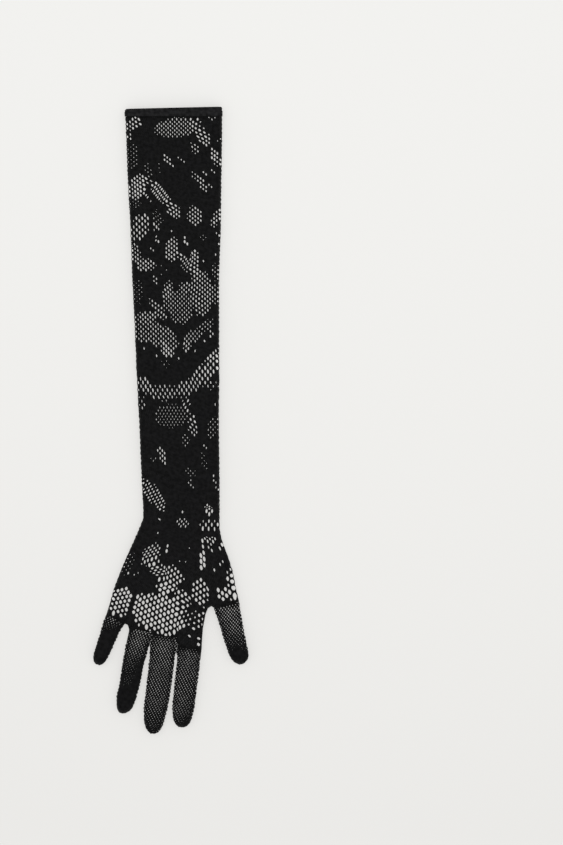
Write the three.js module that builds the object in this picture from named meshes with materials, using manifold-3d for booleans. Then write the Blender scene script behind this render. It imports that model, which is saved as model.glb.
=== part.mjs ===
// A long lace glove, one of a pair, lying flat with its fingers straight.
//
// Millimetres. The glove lies on the plane z = 0. +Y runs from the fingertips to the hem,
// +X to the thumb's side, and the origin is under the middle of the glove.
//
// The glove is one hollow knitted tube for the arm and the hand, with five closed tubes
// for the fingers knitted on to it, and a double hem knitted on at the top.

import * as THREE from "three";
import { mergeVertices } from "three/addons/utils/BufferGeometryUtils.js";
import Module from "manifold-3d";

const wasm = await Module();
wasm.setup();

// Sizes

const CLOTH = 1.0; // thickness of one layer of lace
const HEM_CLOTH = 1.6; // thickness of the doubled hem
const SEAM_GAP = 0.3; // slit between two pieces that are knitted together
const ARM_ROUND = 0.14; // rounded share of the half width at the sleeve's sides
const FINGER_ROUND = 0.5; // the same for a finger
const WIDEST_LEVEL = 0.45; // where the sides bulge most, as a share of the height
const SHOULDER_LEVEL = 0.92; // where the sides meet the crown, as a share of the height
const MESH_PITCH = 10.4; // from one gap of the lace to the next along a row
const MESH_ROW = 9.0; // from one row of gaps to the next
const MESH_RADIUS = 3.6; // corner radius of a six-sided gap
const MESH_EDGE = 7.5; // from the middle of a gap to the side of the glove, at the least
const KNIT_LINE_EDGE = 1.5; // cloth kept between a gap and a knit line
const OPEN_REACH = 20; // how far a hollow is run on beyond an open end, to cut it clear

// Shape of the sleeve and hand: where it is cut across, its two sides and its height there.
// Below the wrist it widens to the root of the thumb, and steps in where the thumb leaves.
const SLEEVE = [
  // y, left, right, height
  [278.7, -41.3, 47.4, 9.2],
  [264.5, -40.8, 47.5, 9.6],
  [220.3, -39.2, 46.8, 9.0],
  [176.2, -36.7, 46.3, 9.7],
  [132.0, -35.1, 44.6, 9.1],
  [87.9, -32.9, 44.8, 9.6],
  [43.7, -31.1, 44.8, 9.0],
  [-0.5, -28.7, 44.5, 9.5],
  [-44.6, -26.9, 45.0, 9.0],
  [-81.4, -25.0, 45.3, 8.8],
  [-90.7, -25.0, 45.1, 8.6],
  [-99.8, -28.8, 45.1, 8.9],
  [-110.9, -33.6, 47.4, 9.4],
  [-125.6, -40.1, 53.1, 9.2],
  [-140.3, -46.4, 57.5, 9.5],
  [-155.0, -51.9, 60.3, 9.2],
  [-166.1, -54.9, 62.7, 9.0],
  [-168.4, -55.4, 56.6, 9.0],
  [-170.2, -54.6, 47.4, 8.9],
  [-171.1, -54.0, 37.7, 8.9],
  [-173.0, -52.9, 34.5, 8.8],
  [-178.5, -49.2, 32.3, 8.6],
  [-184.0, -45.1, 31.3, 8.4],
  [-187.7, -40.9, 30.5, 8.2],
  [-191.4, -37.3, 29.9, 8.0],
  [-198.7, -36.1, 29.3, 7.0],
  [-204.2, -35.9, 28.8, 5.0],
];

// The hem, a doubled band with a rolled top edge. Its top runs slightly uphill to the right.
const HEM = [
  // y, left, right, height, rise from left to right
  [286.8, -40.6, 46.7, 9.0, 2.0],
  [286.1, -41.4, 47.3, 9.4, 2.0],
  [284.9, -42.1, 47.6, 9.6, 1.8],
  [284.1, -41.8, 47.4, 9.2, 1.5],
  [283.3, -42.3, 47.9, 9.8, 1.2],
  [279.0, -42.0, 47.9, 9.8, 0.0],
];

// The fingers: where each starts inside the hand, the way it points, and its sections.
const FINGERS = {
  thumb: {
    base: [49.8, -171.1],
    way: [0.2253, -0.9743],
    sections: [
      // along, left, right, height
      [-8.0, -9.5, 12.2, 8.1],
      [0.0, -9.9, 13.5, 8.5],
      [20.0, -8.1, 12.5, 8.2],
      [32.0, -7.5, 12.0, 8.3],
      [42.0, -6.5, 11.8, 7.9],
      [49.0, -4.9, 11.4, 7.3],
      [52.4, -3.0, 9.9, 6.3],
      [54.6, -0.4, 7.4, 5.0],
      [55.6, 1.4, 5.0, 3.8],
    ],
  },
  index_finger: {
    base: [18.5, -202.4],
    way: [-0.095, -0.9955],
    sections: [
      [-6.0, -10.5, 10.3, 7.7],
      [4.0, -10.6, 11.0, 8.4],
      [16.0, -10.6, 10.7, 8.2],
      [48.0, -11.0, 9.8, 8.0],
      [64.0, -10.9, 9.1, 7.9],
      [72.0, -9.5, 8.0, 7.4],
      [76.8, -7.6, 6.0, 6.3],
      [79.4, -5.4, 3.8, 4.8],
      [80.6, -3.2, 1.2, 3.7],
    ],
  },
  middle_finger: {
    base: [-6.5, -202.4],
    way: [-0.1048, -0.9945],
    sections: [
      [-6.0, -11.0, 11.0, 7.7],
      [6.0, -11.3, 11.8, 8.5],
      [20.0, -10.9, 12.1, 8.2],
      [48.0, -11.2, 11.3, 8.0],
      [64.0, -11.4, 10.1, 8.0],
      [76.0, -9.8, 8.1, 7.6],
      [81.6, -8.0, 6.5, 6.5],
      [85.0, -5.4, 3.9, 4.9],
      [86.6, -2.9, 1.0, 3.7],
    ],
  },
  ring_finger: {
    base: [-29.4, -195.0],
    way: [-0.1852, -0.9827],
    sections: [
      [-6.0, -8.5, 11.2, 7.9],
      [16.0, -9.2, 11.5, 8.2],
      [28.0, -9.2, 10.2, 8.3],
      [48.0, -8.4, 10.1, 7.9],
      [62.0, -8.8, 8.8, 7.9],
      [70.0, -7.3, 7.3, 7.3],
      [73.4, -6.0, 5.0, 6.2],
      [75.4, -4.6, 2.4, 4.7],
      [76.3, -3.2, 0.0, 3.7],
    ],
  },
  little_finger: {
    base: [-48.3, -173.9],
    way: [-0.3273, -0.9449],
    sections: [
      [-7.0, -7.9, 11.0, 7.9],
      [12.0, -8.7, 10.4, 8.2],
      [16.0, -8.8, 8.7, 8.1],
      [26.0, -8.2, 7.5, 8.1],
      [38.0, -7.9, 6.7, 7.9],
      [46.4, -7.5, 5.6, 7.5],
      [51.0, -6.6, 4.4, 6.5],
      [53.2, -4.8, 2.6, 5.0],
      [54.4, -3.2, 0.8, 3.8],
    ],
  },
};

// Where the coarse lace of the hand changes to the fine net of a finger, seen from above.
const KNIT_LINES = [
  [[37.0, -173.6], [67.0, -164.6]],
  [[-62.0, -176.5], [-43.2, -186.6], [-41.2, -190.5]],
  [[-39.2, -190.1], [-17.9, -194.6], [-17.7, -196.9], [-18.4, -202.0], [-20.3, -212.0]],
  [[-17.9, -196.7], [6.4, -199.4], [6.6, -208.0], [4.6, -219.0]],
  [[6.2, -207.8], [34.0, -210.4]],
];

// The patches of openwork, each an ellipse seen from above. The rest is close knitting.
const OPENWORK = [
  // x, y, half length, half width, turn in degrees
  [-33.6, 271.9, 8.0, 6.0, 25],
  [2.3, 268.2, 21.0, 9.5, 6],
  [22.1, 274.2, 6.0, 5.5, 0],
  [29.9, 260.8, 9.6, 5.4, -60],
  [22.5, 249.8, 6.5, 4.5, -55],
  [41.7, 241.5, 8.6, 4.2, -65],
  [27.9, 218.5, 9.8, 4.8, -60],
  [-29.9, 213.9, 12.5, 8.6, 62],
  [-9.2, 208.4, 14.0, 5.6, -50],
  [3.0, 192.3, 8.4, 6.0, -50],
  [22.5, 187.7, 9.0, 7.2, -90],
  [-27.6, 177.6, 13.4, 8.0, 65],
  [1.8, 156.6, 10.8, 6.4, -75],
  [-32.2, 153.2, 10.6, 5.4, -78],
  [-23.0, 142.1, 8.4, 6.0, 8],
  [13.3, 143.5, 9.2, 5.0, -55],
  [22.5, 144.9, 11.7, 6.2, -82],
  [28.5, 116.4, 21.0, 10.4, -88],
  [7.4, 108.6, 15.6, 10.6, -5],
  [10.1, 98.0, 10.4, 10.0, 0],
  [-11.0, 101.7, 12.6, 5.8, -48],
  [-26.7, 85.1, 14.3, 8.3, -78],
  [-8.7, 76.8, 17.5, 10.4, -32],
  [20.7, 76.8, 9.5, 6.0, 32],
  [-23.0, 31.3, 9.2, 6.6, -32],
  [-6.9, 24.8, 13.4, 7.4, -3],
  [14.3, 29.4, 13.8, 7.2, 24],
  [29.9, 41.9, 12.4, 8.2, 47],
  [0.9, 4.1, 15.6, 10.8, 0],
  [20.7, -4.6, 10.6, 5.0, -82],
  [-15.5, -68.6, 17.4, 6.4, -56],
  [11.5, -94.4, 7.0, 4.8, -8],
  [36.3, -96.9, 9.4, 5.0, 0],
  [-17.5, -123.3, 10.8, 7.4, 62],
  [-12.0, -138.0, 12.6, 6.4, -62],
  [1.8, -142.6, 11.6, 8.4, -35],
  [-12.4, -176.2, 24.0, 18.4, -4],
  [-2.3, -154.6, 10.0, 7.4, 0],
  [-1.4, -186.3, 14.6, 12.6, -8],
  [-46.6, -165.1, 12.8, 9.8, 42],
  [27.5, -157.9, 12.0, 9.0, -90],
  [51.8, -158.9, 10.4, 7.6, 14],
];

const LACE_BLACK = new THREE.Color(0x1a1a1d);

// Solids

function solidFrom(geometry) {
  const bare = geometry.index ? geometry.toNonIndexed() : geometry.clone();
  bare.deleteAttribute("normal");
  bare.deleteAttribute("uv");
  const merged = mergeVertices(bare, 1e-4);
  return new wasm.Manifold(
    new wasm.Mesh({
      numProp: 3,
      vertProperties: merged.attributes.position.array,
      triVerts: new Uint32Array(merged.index.array),
    }),
  );
}

function geometryFrom(solid) {
  const mesh = solid.getMesh();
  const geometry = new THREE.BufferGeometry();
  geometry.setAttribute("position", new THREE.BufferAttribute(mesh.vertProperties, 3));
  geometry.setIndex(new THREE.BufferAttribute(mesh.triVerts, 1));
  const flat = geometry.toNonIndexed();
  flat.computeVertexNormals();
  return flat;
}

// A flattened tube's cross-section: flat below, bulging sides and a low crown.
// It spans -1 to 1 across and 0 to 1 upwards.
function flattenedSection(round) {
  const flat = 1 - round;
  const section = new THREE.Shape();
  section.moveTo(-flat, 0);
  section.lineTo(flat, 0);
  section.quadraticCurveTo(1, 0, 1, WIDEST_LEVEL);
  section.quadraticCurveTo(1, SHOULDER_LEVEL - 0.06, flat, SHOULDER_LEVEL);
  section.quadraticCurveTo(0, 2 - SHOULDER_LEVEL, -flat, SHOULDER_LEVEL);
  section.quadraticCurveTo(-1, SHOULDER_LEVEL - 0.06, -1, WIDEST_LEVEL);
  section.quadraticCurveTo(-1, 0, -flat, 0);
  return section;
}

// Stretches one ring of an extruded section to each row of a table, from the top down.
// A row gives its place along the tube, its two sides, its height, its rise and its lift.
function loft(rows, round) {
  const geometry = new THREE.ExtrudeGeometry(flattenedSection(round), {
    depth: rows.length - 1,
    steps: rows.length - 1,
    curveSegments: 2,
    bevelEnabled: false,
  });
  const points = geometry.attributes.position;
  for (let i = 0; i < points.count; i += 1) {
    const [along, left, right, height, rise = 0, lift = 0] = rows[Math.round(points.getZ(i))];
    const across = points.getX(i);
    points.setXYZ(
      i,
      (left + right) / 2 + (across * (right - left)) / 2,
      along + (across * rise) / 2,
      lift + points.getY(i) * height,
    );
  }
  return solidFrom(geometry);
}

// The value of one column of a table between its rows.
function between(rows, place, column) {
  const last = rows.length - 1;
  const direction = Math.sign(rows[last][0] - rows[0][0]);
  const ahead = (row) => (place - rows[row][0]) * direction;
  if (ahead(0) <= 0) {
    return rows[0][column];
  }
  if (ahead(last) >= 0) {
    return rows[last][column];
  }
  const next = rows.findIndex((row, i) => ahead(i) < 0);
  const from = rows[next - 1];
  const to = rows[next];
  const share = (place - from[0]) / (to[0] - from[0]);
  return from[column] + share * (to[column] - from[column]);
}

// The hollow inside a tube: every side is moved in by the cloth.
// Where a side steps in, the hollow steps in first, so that no wall gets thinner.
function hollowRows(rows, cloth) {
  const lastRow = rows[rows.length - 1];
  const direction = Math.sign(lastRow[0] - rows[0][0]);
  const end = lastRow[0] - direction * cloth * 1.2;
  const places = rows.map((row) => row[0]).filter((place) => (end - place) * direction > 0.2);
  return [...places, end].map((place) => {
    const near = [place - cloth, place, place + cloth];
    const left = Math.max(...near.map((at) => between(rows, at, 1))) + cloth;
    const right = Math.min(...near.map((at) => between(rows, at, 2))) - cloth;
    const height = Math.min(...near.map((at) => between(rows, at, 3))) - 2 * cloth;
    return [place, left, right, height, 0, cloth];
  });
}

// A tube standing open at the end of its first row.
function openHollow(rows, cloth) {
  const hollow = hollowRows(rows, cloth);
  return [[hollow[0][0] + OPEN_REACH, ...hollow[0].slice(1)], ...hollow];
}

// A finger's sections run along its own axis, and are then turned and moved to its base.
function fingerTube(finger, rows) {
  const [wayX, wayY] = finger.way;
  const turn = (Math.atan2(wayX, -wayY) * 180) / Math.PI;
  const downwards = rows.map(([along, ...rest]) => [-along, ...rest]);
  return loft(downwards, FINGER_ROUND)
    .rotate([0, 0, turn])
    .translate([finger.base[0], finger.base[1], 0]);
}

function joined(solids) {
  return solids.reduce((whole, solid) => whole.add(solid));
}

// An upright slit along a line of points, used to part two pieces.
function slit(line) {
  const pieces = [];
  for (let i = 1; i < line.length; i += 1) {
    const [fromX, fromY] = line[i - 1];
    const [toX, toY] = line[i];
    const length = Math.hypot(toX - fromX, toY - fromY);
    const box = new THREE.BoxGeometry(length + SEAM_GAP, SEAM_GAP, 60);
    box.rotateZ(Math.atan2(toY - fromY, toX - fromX));
    box.translate((fromX + toX) / 2, (fromY + toY) / 2, 0);
    pieces.push(solidFrom(box));
  }
  return joined(pieces);
}

function insideOpenwork(x, y) {
  return OPENWORK.some(([centreX, centreY, halfLength, halfWidth, turn]) => {
    const angle = (turn * Math.PI) / 180;
    const along = (x - centreX) * Math.cos(angle) + (y - centreY) * Math.sin(angle);
    const across = (y - centreY) * Math.cos(angle) - (x - centreX) * Math.sin(angle);
    return (along / halfLength) ** 2 + (across / halfWidth) ** 2 < 1;
  });
}

function nearKnitLine(x, y) {
  const point = new THREE.Vector3(x, y, 0);
  const nearest = new THREE.Vector3();
  return KNIT_LINES.some((line) => line.slice(1).some(([toX, toY], i) => {
    const [fromX, fromY] = line[i];
    const stretch = new THREE.Line3(
      new THREE.Vector3(fromX, fromY, 0),
      new THREE.Vector3(toX, toY, 0),
    );
    stretch.closestPointToPoint(point, true, nearest);
    return nearest.distanceTo(point) < MESH_RADIUS + KNIT_LINE_EDGE;
  }));
}

// The middles of the gaps: a staggered net, kept where the lace is open.
function gapCentres() {
  const centres = [];
  const top = SLEEVE[0][0] - MESH_EDGE;
  const bottom = SLEEVE[SLEEVE.length - 1][0];
  for (let row = 0; top - row * MESH_ROW > bottom; row += 1) {
    const y = top - row * MESH_ROW;
    const left = between(SLEEVE, y, 1) + MESH_EDGE;
    const right = between(SLEEVE, y, 2) - MESH_EDGE;
    for (let column = -8; column <= 8; column += 1) {
      const x = (column + (row % 2) / 2) * MESH_PITCH;
      if (x > left && x < right && insideOpenwork(x, y) && !nearKnitLine(x, y)) {
        centres.push([x, y]);
      }
    }
  }
  return centres;
}

function gap([x, y]) {
  const prism = new THREE.CylinderGeometry(MESH_RADIUS, MESH_RADIUS, 60, 6);
  prism.rotateX(Math.PI / 2);
  prism.translate(x, y, 0);
  return solidFrom(prism);
}

// The knitted glove below the hem is made all in one, and then parted at the knit lines.
// A piece is found again by a point that only its own bounds hold: a fingertip or the forearm.

const fingers = Object.entries(FINGERS);
const outside = joined([
  loft(SLEEVE, ARM_ROUND),
  ...fingers.map(([, finger]) => fingerTube(finger, finger.sections)),
]);
const hollow = joined([
  loft(openHollow(SLEEVE, CLOTH), ARM_ROUND),
  ...fingers.map(([, finger]) => fingerTube(finger, hollowRows(finger.sections, CLOTH))),
]);
const cuts = [...KNIT_LINES.map(slit), ...gapCentres().map(gap)];
const knitted = cuts.reduce((glove, cut) => glove.subtract(cut), outside.subtract(hollow));
const pieces = knitted.decompose();

function pieceAt(x, y) {
  return pieces.find((piece) => {
    const { min, max } = piece.boundingBox();
    return x > min[0] && x < max[0] && y > min[1] && y < max[1];
  });
}

function fingerPiece(finger) {
  const reach = finger.sections[finger.sections.length - 2][0];
  const [x, y] = finger.base.map((start, axis) => start + finger.way[axis] * reach);
  return pieceAt(x, y);
}

// The hem's hollow runs right through the band.
const hemHollow = openHollow(HEM, HEM_CLOTH);
const hemEnd = hemHollow[hemHollow.length - 1];
hemHollow.push([hemEnd[0] - OPEN_REACH, ...hemEnd.slice(1)]);
const hem = loft(HEM, ARM_ROUND).subtract(loft(hemHollow, ARM_ROUND));

function mesh(name, solid) {
  const material = new THREE.MeshStandardMaterial({
    color: LACE_BLACK,
    roughness: 0.9,
    metalness: 0,
  });
  const made = new THREE.Mesh(geometryFrom(solid), material);
  made.name = name;
  return made;
}

const part = new THREE.Group();
part.add(mesh("hem_band", hem));
part.add(mesh("lace_sleeve", pieceAt(0, 0)));
for (const [name, finger] of fingers) {
  part.add(mesh(name, fingerPiece(finger)));
}

export default part;
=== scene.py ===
# %% [markdown]
# # A long lace glove, lying flat
#
# The real glove is knitted in one go from fine black nylon yarn: a tube for the arm and the
# hand, finer tubes for the fingers, and a doubled hem. Where the knitting is close the lace
# looks solid, and where stitches are passed over each other it opens into small gaps. The
# gaps draw flowers and leaves, and the pale table shows through them.
#
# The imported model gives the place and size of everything. This script dresses it: each tube
# becomes two layers of real net with real gaps, because a picture of holes on a plain tube
# would neither let light through nor cast the right shadows.

import math
import random
from bisect import bisect_right

import bmesh
import bpy
from mathutils import Matrix, Vector
from mathutils.geometry import intersect_point_line


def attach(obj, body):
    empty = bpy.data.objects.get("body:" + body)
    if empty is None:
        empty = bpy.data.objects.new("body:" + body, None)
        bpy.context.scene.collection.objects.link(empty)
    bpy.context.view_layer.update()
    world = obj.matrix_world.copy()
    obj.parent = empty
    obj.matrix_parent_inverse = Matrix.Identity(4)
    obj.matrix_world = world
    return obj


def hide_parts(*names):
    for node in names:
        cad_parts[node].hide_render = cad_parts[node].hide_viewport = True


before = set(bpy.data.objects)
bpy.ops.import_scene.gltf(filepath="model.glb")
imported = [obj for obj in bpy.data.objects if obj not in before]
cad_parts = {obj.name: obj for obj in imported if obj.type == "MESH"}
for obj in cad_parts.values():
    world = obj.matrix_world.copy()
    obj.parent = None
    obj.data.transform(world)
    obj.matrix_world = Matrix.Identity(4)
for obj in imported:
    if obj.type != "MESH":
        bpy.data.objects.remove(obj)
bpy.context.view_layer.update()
MM = 0.001


def new_object(name, data):
    """An object in the scene, with its origin at the frame's origin."""
    thing = bpy.data.objects.new(name, data)
    bpy.context.scene.collection.objects.link(thing)
    return thing


def mesh_of(name, shape):
    """Turns a finished bmesh into a mesh."""
    mesh = bpy.data.meshes.new(name)
    shape.to_mesh(mesh)
    shape.free()
    return mesh


print("packed nodes:", ", ".join(sorted(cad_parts)))

# %% [markdown]
# ## The camera
#
# The glove was photographed from straight above, with a long lens, so that nothing leans.
# A camera needs a distance as well as a lens: the sensor's long side has to see the picture's
# height at the table. Working the distance out from the lens keeps the framing right if the
# lens is ever changed.

# %% Camera straight above the table
PICTURE_HEIGHT = 777.4 * MM
PICTURE_CENTRE = Vector((102.1 * MM, -2.3 * MM, 0.0))
LENS = 200.0
SENSOR = 36.0
SIGHT_END = 50.0

camera_data = bpy.data.cameras.new("camera")
camera_data.lens = LENS
camera_data.sensor_width = SENSOR
camera_data.clip_end = SIGHT_END
camera = new_object("camera", camera_data)
camera.location = PICTURE_CENTRE + Vector((0.0, 0.0, PICTURE_HEIGHT * LENS / SENSOR))
bpy.context.scene.camera = camera
print("camera height in metres:", round(camera.location.z, 3))

# %% [markdown]
# ## The shape that the net lies on
#
# A glove lying flat is a set of flattened tubes: flat below, rounded at the sides, and
# slightly crowned above. Each tube is described by a few cross-sections, the same that the
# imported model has. Between two sections every value runs in a straight line.

# %% Cross-sections of the tubes
SLEEVE = [
    # y, left, right, height, in millimetres from the hem to the roots of the fingers
    (278.7, -41.3, 47.4, 9.2),
    (264.5, -40.8, 47.5, 9.6),
    (220.3, -39.2, 46.8, 9.0),
    (176.2, -36.7, 46.3, 9.7),
    (132.0, -35.1, 44.6, 9.1),
    (87.9, -32.9, 44.8, 9.6),
    (43.7, -31.1, 44.8, 9.0),
    (-0.5, -28.7, 44.5, 9.5),
    (-44.6, -26.9, 45.0, 9.0),
    (-81.4, -25.0, 45.3, 8.8),
    (-90.7, -25.0, 45.1, 8.6),
    (-99.8, -28.8, 45.1, 8.9),
    (-110.9, -33.6, 47.4, 9.4),
    (-125.6, -40.1, 53.1, 9.2),
    (-140.3, -46.4, 57.5, 9.5),
    (-155.0, -51.9, 60.3, 9.2),
    (-166.1, -54.9, 62.7, 9.0),
    (-168.4, -55.4, 56.6, 9.0),
    (-170.2, -54.6, 47.4, 8.9),
    (-171.1, -54.0, 37.7, 8.9),
    (-173.0, -52.9, 34.5, 8.8),
    (-178.5, -49.2, 32.3, 8.6),
    (-184.0, -45.1, 31.3, 8.4),
    (-187.7, -40.9, 30.5, 8.2),
    (-191.4, -37.3, 29.9, 8.0),
    (-198.7, -36.1, 29.3, 7.0),
    (-204.2, -35.9, 28.8, 5.0),
]
SLEEVE.sort()

FINGERS = {
    # base and way in the plan, then sections: along, left, right, height, and the root line
    "thumb": {
        "base": (49.8, -171.1),
        "way": (0.2253, -0.9743),
        "sections": [
            (-8.0, -9.5, 12.2, 8.1),
            (0.0, -9.9, 13.5, 8.5),
            (20.0, -8.1, 12.5, 8.2),
            (32.0, -7.5, 12.0, 8.3),
            (42.0, -6.5, 11.8, 7.9),
            (49.0, -4.9, 11.4, 7.3),
            (52.4, -3.0, 9.9, 6.3),
            (54.6, -0.4, 7.4, 5.0),
            (55.6, 1.4, 5.0, 3.8),
        ],
        "root": [(40.1, -172.7), (62.9, -165.8)],
    },
    "index_finger": {
        "base": (18.5, -202.4),
        "way": (-0.095, -0.9955),
        "sections": [
            (-6.0, -10.5, 10.3, 7.7),
            (4.0, -10.6, 11.0, 8.4),
            (16.0, -10.6, 10.7, 8.2),
            (48.0, -11.0, 9.8, 8.0),
            (64.0, -10.9, 9.1, 7.9),
            (72.0, -9.5, 8.0, 7.4),
            (76.8, -7.6, 6.0, 6.3),
            (79.4, -5.4, 3.8, 4.8),
            (80.6, -3.2, 1.2, 3.7),
        ],
        "root": [(5.4, -213.7), (6.5, -208.1), (28.7, -210.1)],
    },
    "middle_finger": {
        "base": (-6.5, -202.4),
        "way": (-0.1048, -0.9945),
        "sections": [
            (-6.0, -11.0, 11.0, 7.7),
            (6.0, -11.3, 11.8, 8.5),
            (20.0, -10.9, 12.1, 8.2),
            (48.0, -11.2, 11.3, 8.0),
            (64.0, -11.4, 10.1, 8.0),
            (76.0, -9.8, 8.1, 7.6),
            (81.6, -8.0, 6.5, 6.5),
            (85.0, -5.4, 3.9, 4.9),
            (86.6, -2.9, 1.0, 3.7),
        ],
        "root": [
            (-19.0, -207.2), (-18.1, -202.0), (-17.8, -197.0),
            (6.3, -199.6), (6.4, -208.1), (5.2, -213.5),
        ],
    },
    "ring_finger": {
        "base": (-29.4, -195.0),
        "way": (-0.1852, -0.9827),
        "sections": [
            (-6.0, -8.5, 11.2, 7.9),
            (16.0, -9.2, 11.5, 8.2),
            (28.0, -9.2, 10.2, 8.3),
            (48.0, -8.4, 10.1, 7.9),
            (62.0, -8.8, 8.8, 7.9),
            (70.0, -7.3, 7.3, 7.3),
            (73.4, -6.0, 5.0, 6.2),
            (75.4, -4.6, 2.4, 4.7),
            (76.3, -3.2, 0.0, 3.7),
        ],
        "root": [
            (-38.6, -190.3), (-17.9, -194.8), (-17.9, -197.0), (-18.2, -202.0), (-19.2, -207.2),
        ],
    },
    "little_finger": {
        "base": (-48.3, -173.9),
        "way": (-0.3273, -0.9449),
        "sections": [
            (-7.0, -7.9, 11.0, 7.9),
            (12.0, -8.7, 10.4, 8.2),
            (16.0, -8.8, 8.7, 8.1),
            (26.0, -8.2, 7.5, 8.1),
            (38.0, -7.9, 6.7, 7.9),
            (46.4, -7.5, 5.6, 7.5),
            (51.0, -6.6, 4.4, 6.5),
            (53.2, -4.8, 2.6, 5.0),
            (54.4, -3.2, 0.8, 3.8),
        ],
        "root": [(-58.7, -178.3), (-41.8, -187.3)],
    },
}

# shares of a tube's height, and of its half width
WIDEST_LEVEL = 0.45
SHOULDER_LEVEL = 0.92
ARM_ROUND = 0.14
FINGER_ROUND = 0.5


def reading(rows, place):
    """The values of a sorted table at a place, in a straight line between its rows."""
    after = bisect_right(rows, place, key=lambda row: row[0])
    if after == 0 or after == len(rows):
        return rows[max(after - 1, 0)][1:]
    low, high = rows[after - 1], rows[after]
    share = (place - low[0]) / (high[0] - low[0])
    return [a + share * (b - a) for a, b in zip(low[1:], high[1:])]


def finger_to_plan(finger, along, across):
    """A point of the table top, given along and across a finger."""
    way_x, way_y = finger["way"]
    base_x, base_y = finger["base"]
    return (base_x + way_x * along - way_y * across, base_y + way_y * along + way_x * across)


def plan_to_finger(finger, x, y):
    """The same the other way round."""
    way_x, way_y = finger["way"]
    off_x, off_y = x - finger["base"][0], y - finger["base"][1]
    return (off_x * way_x + off_y * way_y, off_y * way_x - off_x * way_y)


print("sleeve sections:", len(SLEEVE), "fingers:", len(FINGERS))

# %% [markdown]
# The height of the cloth above a point of the table comes from whichever tube stands highest
# there, so the root of a finger runs smoothly out of the hand. The underside does the same
# with the lowest tube. At a tube's sides the two layers come down and up to one fold, and
# over the last few millimetres of a finger they close in the same way round its tip.

# %% Height of the upper and the under layer
TIP_REACH = 6.0
PAST_TIP = 2.0


def side_share(rows, place, across):
    """How far out a point lies in a tube, 1 at its side, and the tube's height there."""
    left, right, height = reading(rows, place)
    return abs(across - (left + right) / 2) / ((right - left) / 2), height


def tubes_at(x, y):
    """Each tube that covers or nearly covers a point: its side share, height and rounding."""
    found = [(*side_share(SLEEVE, y, x), ARM_ROUND)]
    for finger in FINGERS.values():
        along, across = plan_to_finger(finger, x, y)
        first, last = finger["sections"][0][0], finger["sections"][-1][0]
        if first < along < last + PAST_TIP:
            share, height = side_share(finger["sections"], along, across)
            tip_share = min(1.0, max(0.0, (along - last) / TIP_REACH + 1.0))
            if share < 1.0:
                share = 1.0 - (1.0 - share) * (1.0 - tip_share ** 2)
            found.append((share, height, FINGER_ROUND))
    return found


def fold_height(x, y):
    """The height of the fold at a tube's side, where the upper and the under layer meet."""
    return min(tubes_at(x, y), key=lambda tube: abs(tube[0] - 1.0))[1] * WIDEST_LEVEL


def layer_height(share, height, rounding, upper):
    """The height of a flattened tube's upper or under face at a side share."""
    flat = 1.0 - rounding
    if share <= flat:
        crown = (1.0 - (share / flat) ** 2) * (1.0 - SHOULDER_LEVEL)
        return height * (SHOULDER_LEVEL + crown) if upper else 0.0
    bulge = math.sqrt(max(0.0, 1.0 - ((share - flat) / rounding) ** 2))
    if upper:
        return height * (WIDEST_LEVEL + (SHOULDER_LEVEL - WIDEST_LEVEL) * bulge)
    return height * WIDEST_LEVEL * (1.0 - bulge)


def cloth_height(x, y, upper):
    """The height of the cloth over a point of the table, in millimetres."""
    tubes = tubes_at(x, y)
    covering = [tube for tube in tubes if tube[0] <= 1.0]
    if not covering:
        return fold_height(x, y)
    heights = [layer_height(share, height, rounding, upper) for share, height, rounding in covering]
    return max(heights) if upper else min(heights)


print("height in mid forearm:", round(cloth_height(8.0, 0.0, True), 2), "mm")

# %% [markdown]
# ## Outlines seen from above
#
# Each knitted piece fills an outline on the table. The sleeve's outline follows its two
# sides down to the hand, and then the lines where the coarse lace changes to the fine net of
# the fingers. A finger's outline follows its two sides round the tip.

# %% Outlines of the pieces
HAND_EDGE = [
    # from the little finger's side to the thumb's side, along the knit lines and the crotches
    (-58.7, -178.3), (-41.8, -187.3), (-40.4, -187.2), (-39.2, -188.2), (-38.6, -190.3),
    (-17.9, -194.8), (-17.8, -197.0), (6.3, -199.6), (6.5, -208.1), (28.7, -210.1),
    (29.3, -198.7), (29.9, -191.4), (31.3, -184.0), (32.3, -178.5), (34.5, -173.0),
    (37.7, -171.1), (40.1, -172.7), (62.9, -165.8),
]
LEFT_SIDE_END = -167.0
RIGHT_SIDE_END = -165.0
SIDE_STEP = 2.5


def sleeve_outline():
    """Down the left side, along the lines at the fingers and up the right side."""
    left = [(row[1], row[0]) for row in reversed(SLEEVE) if row[0] > LEFT_SIDE_END]
    right = [(row[2], row[0]) for row in SLEEVE if row[0] > RIGHT_SIDE_END]
    return [Vector(point) for point in left + HAND_EDGE + right]


def finger_outline(finger):
    """Along the root, down one side to the tip and back up the other side."""
    sections = finger["sections"]
    last = sections[-1][0]

    def side(column, start):
        steps = int((last - start) / SIDE_STEP)
        places = [start + SIDE_STEP * (i + 1) for i in range(steps)] + [last]
        return [
            finger_to_plan(finger, along, reading(sections, along)[column]) for along in places
        ]

    root = finger["root"]
    left_start = plan_to_finger(finger, *root[0])[0]
    right_start = plan_to_finger(finger, *root[-1])[0]
    loop = root + side(1, right_start) + side(0, left_start)[::-1]
    return [Vector(point) for point in loop]


def edges_of(outline):
    """The outline's stretches, from each corner to the next and round to the first."""
    return list(zip(outline, outline[1:] + outline[:1]))


def is_inside(outline, point):
    """Whether a line drawn sideways from the point crosses the outline an odd count of times."""
    inside = False
    for start, end in edges_of(outline):
        if (start.y > point.y) != (end.y > point.y):
            crossing = start.x + (point.y - start.y) / (end.y - start.y) * (end.x - start.x)
            inside = inside != (point.x < crossing)
    return inside


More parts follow.
